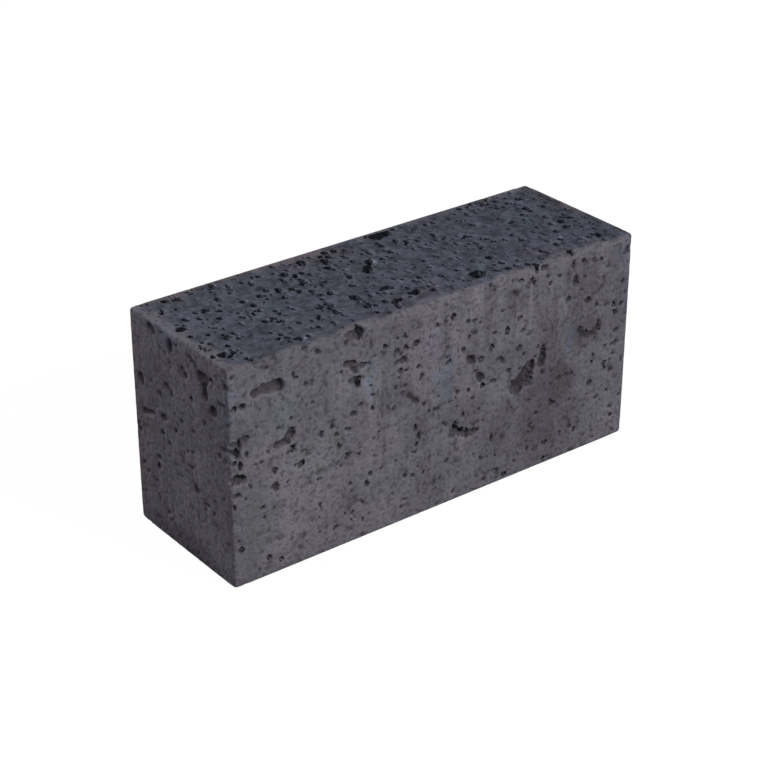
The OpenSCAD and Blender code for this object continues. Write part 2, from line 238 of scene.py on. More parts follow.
# Patches of the surface: a tint, how strongly it takes, and ovals on the faces, each with its
# middle and its two half widths in millimetres
PATCHES = {
    "blue": ((0.90, 1.07, 1.19), 0.75, [
        ("front", 76.5, 42, 3.5, 11), ("front", 49, 52, 2, 8), ("front", 126, 42, 1.8, 6),
        ("front", 147, 64.5, 2.5, 4), ("left", 48.7, 56, 1.5, 11), ("left", 17.5, 68, 8, 3),
        ("back", 40, 48, 5, 13), ("right", 34, 44, 3, 12),
    ]),
    "green": ((0.86, 1.05, 0.92), 0.38, [
        ("top", 30, 24, 12, 6), ("top", 75, 30, 10, 8), ("top", 100, 10, 9, 5),
        ("front", 30, 35, 12, 8), ("front", 8, 20, 6, 12), ("top", 134, 30, 12, 7),
        ("top", 48, 38, 10, 6),
    ]),
    "lavender": ((1.10, 1.10, 1.28), 0.55, [
        ("front", 80.4, 62.5, 1.3, 6), ("front", 72, 57, 1.6, 8),
    ]),
    "light": ((1.13, 1.12, 1.12), 1.00, [
        ("front", 36, 31, 24, 13), ("front", 46, 6, 18, 7), ("front", 72, 52, 12, 16),
        ("front", 143, 5, 9, 6), ("front", 18, 24, 21, 23), ("top", 90, 5, 60, 7),
        ("back", 60, 30, 26, 20),
    ]),
    "mist": ((1.00, 1.10, 1.09), 1.00, [
        ("front", 18, 50, 6, 7),
    ]),
    "fair": ((1.12, 1.11, 1.11), 1.00, [
        ("front", 26, 22, 13, 22), ("front", 82, 35, 9, 8),
    ]),
    "pale": ((1.35, 1.32, 1.28), 0.60, [
        ("front", 87.5, 64.5, 1.4, 6), ("front", 94, 60, 1.4, 8), ("front", 43.5, 59.7, 2.2, 1.2),
        ("front", 108.5, 57, 1.4, 7), ("front", 81, 19.5, 3, 3.2),
    ]),
    "shade": ((0.76, 0.75, 0.76), 1.00, [
        ("front", 117, 20, 14, 30), ("front", 130, 60, 10, 9), ("front", 128, 46, 8, 10),
        ("front", 98, 20, 6, 9), ("front", 144, 64, 5, 5), ("left", 24, 2, 24, 6),
        ("back", 120, 36, 14, 26), ("right", 14, 24, 12, 20),
    ]),
    "stain": ((0.72, 0.69, 0.70), 0.60, [
        ("front", 117, 49, 5, 8), ("front", 114, 14, 9, 8), ("front", 122, 27, 6, 6),
        ("back", 30, 60, 8, 7), ("front", 1.8, 1.2, 2.2, 1.4),
        ("front", 101.4, 58.5, 0.9, 5),
    ]),
    "rust": ((0.98, 0.84, 0.78), 0.70, [
        ("left", 2, 35, 3, 34), ("left", 10, 35, 3, 3), ("top", 36, 48.5, 40, 2),
        ("top", 62, 44, 14, 4), ("top", 63, 6.5, 3, 2.5), ("top", 74, 7, 6, 2.5),
        ("top", 118, 8, 9, 4), ("top", 147, 33, 3, 14),
    ]),
    # painted highlights: small bright spots that stand in for glints on pebble edges of the top
    "painted_glint": ((3.0, 2.9, 2.8), 0.85, [
        ("top", 78, 7, 0.8, 0.6), ("top", 130.5, 11.5, 0.7, 0.6), ("top", 74.3, 31.6, 0.7, 1.4),
        ("top", 28.5, 3, 0.7, 0.6), ("top", 7, 10.3, 0.6, 0.8),
    ]),
}

# Zones with strong brush marks
BRUSHED = [
    ("front", 92, 58, 24, 13), ("front", 45, 48, 14, 12), ("front", 128, 52, 12, 14),
    ("left", 25, 20, 18, 18), ("back", 60, 45, 26, 16),
]

# Zones where the surface is crumbled
CRUMBLED = [
    ("front", 6, 22, 8, 20), ("front", 65, 29, 5, 9), ("front", 94, 11, 6, 9),
    ("front", 4, 46, 5, 9), ("front", 84, 30, 9, 6), ("front", 57, 42, 9, 7),
    ("front", 78, 40, 3, 7), ("front", 100, 43, 9, 5), ("front", 134, 42, 9, 5),
    ("front", 118, 28, 11, 6), ("front", 146, 46, 4, 14), ("left", 42, 52, 7, 8),
    ("left", 12, 52, 9, 10), ("back", 110, 30, 16, 16), ("back", 40, 20, 14, 9),
    ("right", 12, 50, 8, 12), ("right", 36, 18, 9, 10),
]


# ---------------------------------------------------------------- noise

def noise_tile(rng, wavelength):
    """A block of noise that repeats without a seam: mean 0, deviation 1, wavelength in mm."""
    steps = np.fft.fftfreq(TILE)
    last = np.fft.rfftfreq(TILE)
    k = np.sqrt(steps[:, None, None] ** 2 + steps[None, :, None] ** 2 + last[None, None, :] ** 2)
    k *= wavelength / VOXEL
    spectrum = np.fft.rfftn(rng.standard_normal((TILE,) * 3)) * k * np.exp(-k * k)
    tile = np.fft.irfftn(spectrum, (TILE,) * 3)
    return (tile / tile.std()).astype(np.float32)


def tiled(tile, ranges):
    """The tile's values over a box of voxels, given as three (first, past last) pairs."""
    return tile[np.ix_(*[np.arange(a, b) % TILE for a, b in ranges])]


def wave_noise(rng, points, wavelength):
    """Smooth noise at any points: three values at each, with a deviation of about 1."""
    values = np.zeros((len(points), 3))
    for _ in range(WAVES):
        heading = rng.standard_normal(3)
        heading *= 2 * math.pi / wavelength / np.linalg.norm(heading)
        swing = rng.standard_normal(3) * math.sqrt(2 / WAVES)
        values += np.sin(points @ heading + rng.uniform(0, 2 * math.pi))[:, None] * swing
    return values


# ---------------------------------------------------------------- the level set

def bent(points, rng):
    """The CAD's points, moved about within the faces, so that its round voids turn ragged."""
    shift = sum(amount * wave_noise(rng, points, wavelength) for amount, wavelength in BENDS)
    inset = np.minimum(points - LOW, HIGH - points)
    hold = np.clip(inset / STILL, 0, 1) ** 2
    return points + shift * hold


class Block:
    """Distances to the surface on a grid of voxels, less than zero inside the block."""

    def __init__(self, cad_object, rng):
        mesh = cad_object.data
        mesh.calc_loop_triangles()
        points = np.empty(3 * len(mesh.vertices), np.float32)
        mesh.vertices.foreach_get("co", points)
        corners = np.empty(3 * len(mesh.loop_triangles), np.int32)
        mesh.loop_triangles.foreach_get("vertices", corners)
        grid = openvdb.FloatGrid.createLevelSetFromPolygons(
            bent(points.reshape(-1, 3) / MM, rng).astype(np.float32),
            triangles=corners.reshape(-1, 3).astype(np.uint32),
            transform=openvdb.createLinearTransform(voxelSize=VOXEL),
            halfWidth=float(BAND),
        )
        first, last = grid.evalActiveVoxelBoundingBox()
        self.first = np.array(first)
        self.values = np.empty(np.array(last) - self.first + 1, np.float32)
        grid.copyToArray(self.values, ijk=tuple(first))

    def part(self, ranges):
        """The distances in a box of voxels, to be changed in place."""
        return self.values[tuple(slice(a, b) for a, b in ranges)]

    def axes(self, ranges):
        """Coordinates, in mm, of the voxels in a box, as three arrays that broadcast."""
        return np.ix_(*[(np.arange(a, b) + f) * VOXEL for (a, b), f in zip(ranges, self.first)])

    def noise(self, tile, ranges):
        """A repeating noise over a box of voxels."""
        return tiled(tile, [(a + f, b + f) for (a, b), f in zip(ranges, self.first)])

    def box_round(self, centre, reach):
        """The voxels within reach of a point, kept inside the grid."""
        index = np.asarray(centre) / VOXEL - self.first
        low = np.maximum(np.floor(index - reach / VOXEL).astype(int), 0)
        high = np.minimum(np.ceil(index + reach / VOXEL).astype(int) + 1, self.values.shape)
        return [(a, max(a, b)) for a, b in zip(low, high)]

    def cut(self, ranges, hole, rounding):
        """Takes away what is inside the hole, with its rim rounded over."""
        part = self.part(ranges)
        keep = -hole
        blend = np.maximum(rounding - np.abs(part - keep), 0) / max(rounding, TINY)
        part[...] = np.maximum(part, keep) + blend * blend * rounding / 4

    def open_void(self, face, along, up, length, height, depth, turn, rounding, rough, tile):
        """Opens one ragged, egg-shaped void whose mouth lies in the face."""
        centre = face.point(along, up)
        reach = max(length, height, 2 * depth) / 2 + ROOM * VOXEL
        ranges = self.box_round(centre, reach)
        if any(a >= b for a, b in ranges):
            return
        x, y, z = self.axes(ranges)
        offset = [x - centre[0], y - centre[1], z - centre[2]]
        c, s = math.cos(turn), math.sin(turn)
        axis_a = c * face.u + s * face.v
        axis_b = -s * face.u + c * face.v
        square = 0
        slope = 0
        for axis, radius in ((axis_a, length / 2), (axis_b, height / 2), (face.n, depth)):
            reached = sum(o * a for o, a in zip(offset, axis)) / radius
            square = square + reached ** 2
            slope = slope + (reached / radius) ** 2
        level = np.sqrt(square)
        distance = level * (level - 1) / np.sqrt(slope + TINY)
        distance = distance + rough * min(length, height) * self.noise(tile, ranges)
        self.cut(ranges, distance.astype(np.float32), rounding)

    def slab(self, face):
        """The voxels from just outside a face down to the depth that is worked on."""
        low, high = LOW - BEYOND, HIGH + BEYOND
        axis = int(np.argmax(np.abs(face.n)))
        if face.n[axis] > 0:
            low = np.where(np.arange(3) == axis, HIGH - UNDER, low)
        else:
            high = np.where(np.arange(3) == axis, LOW + UNDER, high)
        first = np.maximum(np.floor(low / VOXEL).astype(int) - self.first, 0)
        past = np.minimum(np.ceil(high / VOXEL).astype(int) - self.first, self.values.shape)
        return list(zip(first, past))

    def soften(self, face, passes):
        """Blurs the distances under a face, which rounds the rims of its voids."""
        part = self.part(self.slab(face))
        for _ in range(passes):
            for axis in range(3):
                line = np.moveaxis(part, axis, 0)
                line[1:-1] = 0.5 * line[1:-1] + 0.25 * (line[:-2] + line[2:])

    def roughen(self, face, tile, amount):
        """Makes the walls of a face's voids ragged, and leaves its plane as it is."""
        ranges = self.slab(face)
        place = self.axes(ranges)
        depth = sum(float(face.n[i]) * (face.corner[i] - place[i]) for i in range(3) if face.n[i])
        below = np.clip((depth - WALL_FROM) / WALL_FADE, 0, 1).astype(np.float32)
        part = self.part(ranges)
        part += amount * below * self.noise(tile, ranges)

    def make_whole(self, low, high, radius):
        """Closes the voids in a box of space, up to the block's plain worn shape."""
        first, past = (np.ceil(np.array(c) / VOXEL).astype(int) - self.first for c in (low, high))
        ranges = [(max(a, 0), min(b, n)) for a, b, n in zip(first, past, self.values.shape)]
        place = self.axes(ranges)
        over = [np.abs(a - m) - s / 2 + radius for a, m, s in zip(place, MIDDLE, SIZE)]
        outside = np.sqrt(sum(np.maximum(o, 0) ** 2 for o in over))
        inside = np.minimum(np.maximum(np.maximum(over[0], over[1]), over[2]), 0)
        part = self.part(ranges)
        np.minimum(part, outside + inside - radius, out=part)

    def wear_edges(self, ragged, broad):
        """Cuts each arris back unevenly, by planes at 45 degrees to its two faces."""
        ranges = [(0, n) for n in self.values.shape]
        inset = [np.abs(a - m) - s / 2 for a, m, s in zip(self.axes(ranges), MIDDLE, SIZE)]
        wear = (WEAR + WEAR_RAGGED * self.noise(ragged, ranges)
                + WEAR_BROAD * self.noise(broad, ranges))
        np.maximum(wear, 0, out=wear)
        for a, b in ((0, 1), (1, 2), (0, 2)):
            plane = (inset[a] + inset[b]) / math.sqrt(2) + wear
            np.maximum(self.values, plane, out=self.values)

    def solid_share(self, points):
        """How much of the space around each point is solid: half of it on a flat face."""
        share = np.clip(0.5 - self.values / VOXEL, 0, 1)
        for _ in range(AROUND_PASSES):
            for axis in range(3):
                share = box_blur(share, axis)
        place = points / VOXEL - self.first
        corner = np.floor(place).astype(int)
        past = place - corner
        total = np.zeros(len(points))
        for step in np.ndindex(2, 2, 2):
            weight = np.prod(np.where(step, past, 1 - past), axis=1)
            total += weight * share[tuple((corner + step).T)]
        return total

    def polygons(self):
        """Vertices in metres, and the faces, of the block's surface."""
        grid = openvdb.FloatGrid(BAND * VOXEL)
        grid.transform = openvdb.createLinearTransform(voxelSize=VOXEL)
        grid.gridClass = openvdb.GridClass.LEVEL_SET
        grid.copyFromArray(self.values, ijk=tuple(int(i) for i in self.first))
        points, triangles, quads = grid.convertToPolygons(isovalue=0.0, adaptivity=MERGING)
        return points * MM, triangles, quads


def box_blur(values, axis):
    """Averages values over a box along one axis, with nothing outside the array."""
    line = np.moveaxis(values, axis, 0)
    before = np.zeros((AROUND + 1, *line.shape[1:]), np.float32)
    total = np.cumsum(np.concatenate([before, line, before[1:]]), axis=0)
    width = 2 * AROUND + 1
    return np.moveaxis((total[width:] - total[:-width]) / width, 0, axis)


def chance_voids(rng, face, chance):
    """Places, sizes and turns for a face's chance voids. Most are small, and they crowd."""
    count = int(chance.density * face.width * face.height * TRIED)
    longer = chance.longest - chance.shortest
    height = chance.shortest + longer * rng.uniform(0, 1, count) ** SMALLER
    margin = height / 2 + CLEAR
    along = margin + (face.width - 2 * margin) * rng.uniform(0, 1, count)
    up = margin + (face.height - 2 * margin) * rng.uniform(0, 1, count)
    length = height * rng.uniform(chance.least_width, chance.least_width + WIDTHS, count)
    turn = np.radians(chance.lean + chance.spread * rng.uniform(-1, 1, count))
    waves = rng.uniform(-1, 1, (CROWDS, 2)) / CROWD_LENGTH
    phases = rng.uniform(0, 2 * math.pi, CROWDS)
    swings = (np.sin(w[0] * along + w[1] * up + p) for w, p in zip(waves, phases))
    crowding = sum(swings) / (CROWDS / 2)
    kept = rng.uniform(0, 1, count) < KEPT + KEPT_MORE * crowding
    return zip(along[kept], up[kept], length[kept], height[kept], turn[kept])


def placed_voids(rng, rows, lean):
    """The same for the listed voids, each with a turn of its own."""
    return [(*row, math.radians(lean + SWING * rng.uniform(-1, 1))) for row in rows]


def cast_block():
    """The block's level set, with all its voids open and its edges worn."""
    rng = np.random.default_rng(SEED)
    ragged = noise_tile(rng, RAGGED)
    broad = noise_tile(rng, BROAD)
    block = Block(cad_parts["paver"], rng)
    block.make_whole(LOW - BEYOND, LOW + CORNER, ARRIS)
    for name, face in FACES.items():
        rough, passes = TOP_WALLS if name == "top" else SIDE_WALLS
        block.roughen(face, ragged, rough)
        block.soften(face, passes)
    block.wear_edges(ragged, broad)
    for name, face in FACES.items():
        chance = CHANCE[name]
        voids = placed_voids(rng, PLACED.get(name, []), chance.lean)
        voids += chance_voids(rng, face, chance)
        for along, up, length, height, turn in voids:
            depth = chance.depth * min(length, height)
            block.open_void(face, along, up, length, height, depth, turn,
                            chance.rim, chance.rough, ragged)
        for row in POCKETS.get(name, []):
            block.open_void(face, *row, 0, POCKET_RIM, POCKET_ROUGH, ragged)
    return block


# ---------------------------------------------------------------- the mesh

def drop_crumbs(mesh):
    """Takes away the crumbs that the voids cut off, which leaves one closed piece."""
    edges = np.empty(2 * len(mesh.edges), np.int32)
    mesh.edges.foreach_get("vertices", edges)
    start, end = edges.reshape(-1, 2).T
    label = np.arange(len(mesh.vertices))
    while np.any(label[start] != label[end]):
        lower = np.minimum(label[start], label[end])
        np.minimum.at(label, start, lower)
        np.minimum.at(label, end, lower)
        label = label[label]
    crumbs = label != np.bincount(label).argmax()
    editor = bmesh.new()
    editor.from_mesh(mesh)
    doomed = [vertex for vertex in editor.verts if crumbs[vertex.index]]
    bmesh.ops.delete(editor, geom=doomed, context="VERTS")
    editor.to_mesh(mesh)
    editor.free()


def surface_mesh(points, triangles, quads):
    """A Blender mesh of the level set's surface, with its faces turned outward."""
    mesh = bpy.data.meshes.new("paver_cast")
    loops = np.concatenate([triangles.ravel(), quads.ravel()])
    sizes = np.concatenate([np.full(len(triangles), 3), np.full(len(quads), 4)])
    starts = np.concatenate([[0], np.cumsum(sizes)[:-1]])
    mesh.vertices.add(len(points))
    mesh.vertices.foreach_set("co", points.ravel())
    mesh.loops.add(len(loops))
    mesh.loops.foreach_set("vertex_index", loops.astype(np.int32))
    mesh.polygons.add(len(sizes))
    mesh.polygons.foreach_set("loop_start", starts.astype(np.int32))
    mesh.update(calc_edges=True)
    mesh.validate()
    mesh.flip_normals()
    return mesh


def make_piece(block):
    """One closed mesh of the block, under the limit on triangles and inside the CAD's box."""
    points, triangles, quads = block.polygons()
    piece = bpy.data.objects.new("paver_cast", surface_mesh(points, triangles, quads))
    bpy.context.scene.collection.objects.link(piece)
    count = len(triangles) + 2 * len(quads)
    if count > MOST_TRIANGLES:
        shrink = piece.modifiers.new("fewer", "DECIMATE")
        shrink.ratio = MOST_TRIANGLES / count
        graph = bpy.context.evaluated_depsgraph_get()
        fewer = bpy.data.meshes.new_from_object(piece.evaluated_get(graph))
        piece.modifiers.clear()
        piece.data = fewer
    mesh = piece.data
    drop_crumbs(mesh)
    points = np.empty(3 * len(mesh.vertices), np.float32)
    mesh.vertices.foreach_get("co", points)
    points = np.clip(points.reshape(-1, 3), LOW * MM, HIGH * MM)
    mesh.vertices.foreach_set("co", points.ravel())
    share = block.solid_share(points / MM).astype(np.float32)
    mesh.attributes.new("solid_share", "FLOAT", "POINT").data.foreach_set("value", share)
    return piece


# ---------------------------------------------------------------- shader nodes

class Nodes:
    """Short ways to add and join shader nodes."""

    def __init__(self, material):
        material.use_nodes = True
        self.tree = material.node_tree
        self.tree.nodes.clear()

    def add(self, kind, inputs=None, **settings):
        node = self.tree.nodes.new(kind)
        for name, value in settings.items():
            setattr(node, name, value)
        for name, value in (inputs or {}).items():
            self.put(node.inputs[name], value)
        return node

    def put(self, socket, value):
        if isinstance(value, bpy.types.NodeSocket):
            self.tree.links.new(value, socket)
        else:
            socket.default_value = value

    def math(self, operation, *values):
        node = self.add("ShaderNodeMath", operation=operation)
        for socket, value in zip(node.inputs, values):
            self.put(socket, value)
        return node.outputs[0]

    def vector(self, operation, *values):
        node = self.add("ShaderNodeVectorMath", operation=operation)
        sockets = [s for s in node.inputs if s.enabled]
        for socket, value in zip(sockets, values):
            self.put(socket, value)
        return node.outputs["Value" if operation in ("LENGTH", "DOT_PRODUCT") else "Vector"]

    def apart(self, vector):
        """The three numbers of a vector or a colour."""
        outputs = self.add("ShaderNodeSeparateXYZ", {0: vector}).outputs
        return outputs[0], outputs[1], outputs[2]

    def least(self, first, *others):
        for other in others:
            first = self.math("MINIMUM", first, other)
        return first

    def most(self, first, *others):
        for other in others:
            first = self.math("MAXIMUM", first, other)
        return first

    def product(self, first, *others):
        for other in others:
            first = self.math("MULTIPLY", first, other)
        return first

    def total(self, *terms):
        """The sum of values, each times its own amount."""
        total = 0.0
        for value, amount in terms:
            total = self.math("MULTIPLY_ADD", value, amount, total)
        return total

    def step(self, value, low, high):
        """0 at low, 1 at high, and smooth between. Low may be the greater of the two."""
        node = self.add("ShaderNodeMapRange", interpolation_type="SMOOTHSTEP")
        for name, given in (("Value", value), ("From Min", low), ("From Max", high)):
            self.put(node.inputs[name], given)
        return node.outputs["Result"]

    def line(self, value, middle, width):
        """1 where a value is at the middle, and 0 once it is this far from it."""
        return self.step(self.math("ABSOLUTE", self.math("SUBTRACT", value, middle)), width, 0.0)

    def noise(self, place, scale, detail, rough):
        node = self.add("ShaderNodeTexNoise", {"Vector": place, "Scale": scale, "Detail": detail,
                                               "Roughness": rough})
        return node.outputs[0]

    def mix(self, factor, first, second, blend="MIX"):
        node = self.add("ShaderNodeMix", data_type="RGBA", blend_type=blend)
        for index, value in ((0, factor), (6, first), (7, second)):
            self.put(node.inputs[index], value)
        return node.outputs[2]

    def tint(self, base, amount):
        """A colour times a number."""
        grey = self.add("ShaderNodeCombineColor", {0: amount, 1: amount, 2: amount}).outputs[0]
        return self.mix(1.0, base, grey, "MULTIPLY")


def colour(red, green, blue):
    return (red, green, blue, 1.0)


# ---------------------------------------------------------------- the material

WARM = (colour(0.0662, 0.0622, 0.0727), colour(0.0761, 0.0717, 0.0842))
# the slate blue of the top is partly its own colour and partly a painted bluish sheen
SLATE = (colour(0.0301, 0.0320, 0.0439), colour(0.0341, 0.0364, 0.0495))
SMUDGE = colour(0.0195, 0.0178, 0.0230)
# painted shade for the cores of the pinholes
PINHOLE_SHADE = colour(0.005, 0.006, 0.009)
# painted shade for the insides of the voids on the sides and on the top
SIDE_VOID_SHADE = colour(0.0175, 0.0160, 0.0195)
TOP_VOID_SHADE = colour(0.0015, 0.0022, 0.0048)
SHINE = 0.12                    # specular level
MATT = 0.82                     # roughness of the sides
TOP_SMOOTHER = 0.20             # how much less rough the top is
PINHOLE_LENGTH = 1.9            # pinholes are this many times as long as wide
ALONG_BRUSH = 0.07              # brush marks vary this much less up and down than across
PAINTED_LIT_FACING = (-0.93, 0.37, 0.0)     # the walls of the top's voids that face this way are painted paler, a painted highlight as if lit from this side

# The slate colour stops this far short of the top's edges
SHORT_OF = {"left": 3.2, "back": 2.0, "front": 0.6, "right": 0.6}


class Surface:
    """What the shader knows of the surface: its place in millimetres, its noises, its zones."""

    def __init__(self, n):
        self.n = n
        coordinates = n.add("ShaderNodeTexCoord").outputs
        self.normal = coordinates["Normal"]
        self.mm = n.vector("MULTIPLY", coordinates["Object"], (1 / MM,) * 3)
        self.solid = n.add("ShaderNodeAttribute", attribute_name="solid_share").outputs["Fac"]
        self.measure()
        self.cloud = n.noise(self.mm, scale=0.07, detail=2.0, rough=0.5)
        self.blotch = n.noise(self.mm, scale=0.22, detail=2.0, rough=0.6)
        self.mottle = n.noise(self.mm, scale=0.48, detail=1.0, rough=0.55)
        self.sand = n.noise(self.mm, scale=1.05, detail=1.0, rough=0.5)
        self.grit = n.noise(self.mm, scale=2.8, detail=1.0, rough=0.5)
        self.strayed = self.stray(scale=0.22, reach=5.0)
        self.drawn_out = n.add("ShaderNodeMapping", {
            "Vector": self.mm,
            "Rotation": (0, 0, math.radians(CHANCE["top"].lean)),
            "Scale": (1, PINHOLE_LENGTH, 1),
        }, vector_type="TEXTURE").outputs[0]
        self.top = self.top_share()
        self.side = n.math("SUBTRACT", 1.0, self.top)
        self.crumbled = self.ovals(CRUMBLED)

    def measure(self):
        """How far the surface is from the block's faces and arrises."""
        n = self.n
        x, y, z = n.apart(self.mm)
        self.inward = {
            "left": n.math("ADD", x, SIZE[0] / 2),
            "right": n.math("SUBTRACT", SIZE[0] / 2, x),
            "front": n.math("ADD", y, SIZE[1] / 2),
            "back": n.math("SUBTRACT", SIZE[1] / 2, y),
        }
        self.below_top = n.math("SUBTRACT", SIZE[2], z)
        along = n.least(self.inward["left"], self.inward["right"])
        across = n.least(self.inward["front"], self.inward["back"])
        upright = n.least(self.below_top, z)
        self.depth = n.least(along, across, upright)
        # On the top, the depth is that below the top, to within 0.05 mm
        self.on_top = n.math("COMPARE", self.below_top, self.depth, 0.05)
        next_face = n.most(n.least(along, across), n.least(across, upright),
                           n.least(along, upright))
        self.off_arris = n.step(next_face, 0.5, 1.3)

    def stray(self, scale, reach):
        """The place, moved about by up to this reach."""
        n = self.n
        push = n.add("ShaderNodeTexNoise", {"Vector": self.mm, "Scale": scale, "Detail": 1.0})
        off = n.vector("SUBTRACT", push.outputs["Color"], (0.5,) * 3)
        return n.vector("MULTIPLY_ADD", off, (2 * reach,) * 3, self.mm)

    def ovals(self, rows):
        """1 inside any of these ovals, and 0 away from them, with a soft, wandering outline."""
        n = self.n
        inside = 0.0
        for name, along, up, half_along, half_up in rows:
            face = FACES[name]
            middle = face.point(along, up)
            reach = (np.abs(face.u) * half_along + np.abs(face.v) * half_up
                     + np.abs(face.n) * THICK)
            place = self.mm if max(half_along, half_up) < SMALL_OVAL else self.strayed
            away = n.vector("MULTIPLY_ADD", place, tuple(1 / reach), tuple(-middle / reach))
            near = n.step(n.vector("LENGTH", away), 1.2, 0.6)
            inside = n.math("MAXIMUM", inside, near)
        return inside

    def pits(self, scale, least, most):
        """Spots of chance sizes: a bowl that is highest at its middle, and the dark core of it.

        Least and most are radii, as shares of the spots' spacing. Most spots are small, and they
        are between 0.3 and 1 in strength.
        """
        n = self.n
        cell = n.add("ShaderNodeTexVoronoi", {"Vector": self.drawn_out, "Scale": scale})
        size, strength, _ = n.apart(cell.outputs["Color"])
        radius = n.math("MULTIPLY_ADD", n.math("POWER", size, 2.0), most - least, least)
        strength = n.math("MULTIPLY_ADD", strength, 0.7, 0.3)
        away = cell.outputs["Distance"]
        bowl = n.step(away, radius, n.product(radius, 0.35))
        core = n.step(away, n.product(radius, 0.85), n.product(radius, 0.30))
        return n.product(bowl, strength), n.product(core, strength)

    def top_share(self):
        """1 where the surface has the slate colour, which wanders in from the top's edges."""
        n = self.n
        inward = n.least(*[n.math("SUBTRACT", self.inward[name], short)
                           for name, short in SHORT_OF.items()])
        wander = n.total((n.noise(self.mm, scale=0.16, detail=2.0, rough=0.5), 11.0),
                         (self.mottle, 5.0), (1.0, -8.0))
        inward = n.math("SUBTRACT", n.math("ADD", inward, wander), self.below_top)
        return n.step(inward, -0.8, 1.8)


def sound_colour(n, at):
    """Sound concrete: slate blue on the top, partly its own colour and partly a painted bluish
    sheen, and warmer on the sides, with patches of tint.
    """
    shift = n.step(at.cloud, 0.3, 0.7)
    base = n.mix(at.top, n.mix(shift, *WARM), n.mix(shift, *SLATE))
    for tint, strength, ovals in PATCHES.values():
        taken = n.product(at.ovals(ovals), strength)
        base = n.mix(taken, base, colour(*tint), "MULTIPLY")
    return base


def brushed(n, at, base):
    """Brush marks run up and down the sides."""
    along = n.vector("MULTIPLY", at.mm, (1.0, 1.0, ALONG_BRUSH))
    marks = n.math("SUBTRACT", n.noise(along, scale=0.50, detail=2.0, rough=0.6), 0.5)
    amount = n.product(n.math("ADD", at.ovals(BRUSHED), 0.35), at.side)
    return n.tint(base, n.math("MULTIPLY_ADD", marks, amount, 1.0))


def grained(n, at, base):
    """Clouds, mottles and grains of sand, lighter and darker."""
    return n.tint(base, n.total((at.blotch, 1.5), (at.mottle, 1.8), (at.sand, 0.7),
                                (at.grit, 0.2), (1.0, -1.1)))


def smudged(n, at, base):
    """Dark smudges on the sides, and dark lines between the grains where they are crumbled."""
    gather = n.total((at.blotch, 0.50), (at.crumbled, 0.04), (1.0, -0.25))
    wide = n.step(n.math("ADD", at.mottle, gather), 0.50, 0.76)
    small = n.product(n.step(n.math("ADD", at.sand, gather), 0.50, 0.84), 0.8)
    between = n.product(n.line(at.mottle, 0.48, 0.100), n.step(at.sand, 0.34, 0.62),
                        at.crumbled, n.step(at.blotch, 0.38, 0.56))
    cracks = n.product(n.line(at.sand, 0.5, 0.055), n.step(at.mottle, 0.36, 0.54),
                       at.crumbled, 0.85)
    smudge = n.product(n.most(wide, small, between, cracks), at.side, 0.76)
    return n.mix(smudge, base, SMUDGE)


def pricked(n, at, base):
    """Pinholes in the top, too fine for the mesh and longer than wide, with painted shade in their
    cores. Also gives their bowls.
    """
    pin, pin_core = at.pits(0.62, 0.05, 0.40)
    prick, prick_core = at.pits(1.15, 0.06, 0.38)
    # painted shade: the pinholes' cores are painted near black
    core = n.product(n.most(pin_core, n.product(prick_core, 0.7)), at.top, 0.8)
    return n.mix(core, base, PINHOLE_SHADE), n.product(n.most(pin, prick), at.top)


def wear_and_painted_highlights(n, at, base):
    """Pale rims, partly wear and partly painted highlight, and a painted highlight on the walls of
    the top's voids that face one way. Also gives that highlight.
    """
    # painted highlight: walls of the top's voids that face one way are made paler, as if lit from
    # that side
    facing = n.step(n.vector("DOT_PRODUCT", at.normal, PAINTED_LIT_FACING), 0.10, 0.55)
    painted_lit_walls = n.product(facing, at.on_top, at.off_arris)
    # pale rims on the convex edges of voids: partly wear, partly a painted highlight along the rims
    worn = n.product(n.step(at.solid, 0.47, 0.38), at.off_arris, 0.10)
    return n.tint(base, n.total((worn, 1.0), (painted_lit_walls, 0.9), (1.0, 1.0))), painted_lit_walls


def paint_void_shade(n, at, base, painted_lit_walls):
    """Painted shade inside the voids. Also gives how far each place is shaded.

    The top's voids are painted near black all over, as shade. Those of the sides get the most
    painted shade where they are narrow or face down.
    """
    # painted shade: darker where a void is narrow and enclosed, and where its walls face down, away
    # from the light above
    narrow = n.step(at.solid, 0.48, 0.62)
    upward = n.apart(at.normal)[2]
    side_most = n.total((narrow, 0.12), (upward, -0.45), (1.0, 0.86))
    side_most = n.least(n.most(side_most, 0.25), 0.96)
    reached = n.product(n.math("MULTIPLY_ADD", narrow, 1.6, 1.0), at.depth)
    side_deep = n.product(n.step(reached, 0.05, 1.30), side_most)
    # the top's voids get less painted shade where their walls carry the painted highlight
    top_most = n.math("MULTIPLY_ADD", painted_lit_walls, -0.55, 0.98)
    top_deep = n.product(n.step(at.depth, 0.03, 0.28), top_most)
    void_shade = n.add("ShaderNodeMix", {0: at.on_top, 2: side_deep, 3: top_deep}).outputs[0]
    void_shade = n.product(void_shade, at.off_arris)
    return n.mix(void_shade, base, n.mix(at.on_top, SIDE_VOID_SHADE, TOP_VOID_SHADE)), void_shade


def uneven(n, at, bowls):
    """The normal, tilted by mottles and sand all over and by ripples and pinholes on the top."""
    ripple = n.product(n.noise(at.drawn_out, scale=0.8, detail=2.0, rough=0.5), at.top)
    height = n.total((at.mottle, 0.42), (at.sand, 0.06), (at.grit, 0.02), (bowls, -0.20),
                     (ripple, 0.75))
    return n.add("ShaderNodeBump", {"Height": height, "Distance": MM, "Strength": 1.0}).outputs[0]


